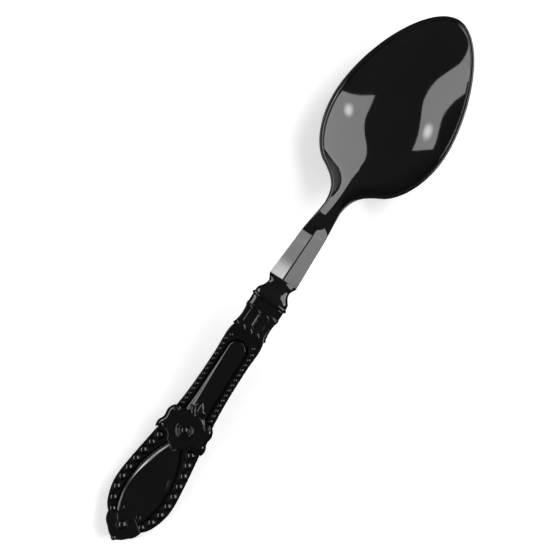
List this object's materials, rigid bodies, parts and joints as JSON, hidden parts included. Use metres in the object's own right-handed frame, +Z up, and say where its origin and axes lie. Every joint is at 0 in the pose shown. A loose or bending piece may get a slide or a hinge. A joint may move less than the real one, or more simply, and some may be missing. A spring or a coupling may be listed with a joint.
{
  "type": "ornate table spoon",
  "caption": "Ornate table spoon with a pointed oval bowl on a faceted shank, a fluted ferrule and a hollow handle edged with beads round inset panels.",
  "frame": {"origin": "centre of the footprint's bounding box, on the table that the spoon rests on, bowl up", "axes": "+X along the spoon from the end of the handle to the tip of the bowl, +Y to the left seen from the handle, +Z up out of the bowl"},
  "size_m": [0.19, 0.0398, 0.0174],
  "materials": {
    "bowl_black": "polished black moulded plastic",
    "handle_black": "glossy black moulded plastic",
    "inlay_black": "glossy black moulded plastic",
    "trim_black": "glossy black moulded plastic",
    "core_dark": "dull dark filler"
  },
  "bodies": {
    "root": {"bowl_and_shank": "bowl_black", "collar_ring": "trim_black", "fluted_ferrule": "trim_black", "handle_front_shell": "handle_black", "handle_back_shell": "handle_black", "handle_core": "core_dark", "teardrop_panel": "inlay_black", "long_panel": "inlay_black", "rosette": "trim_black", "end_finial": "trim_black"}
  },
  "joints": []
}
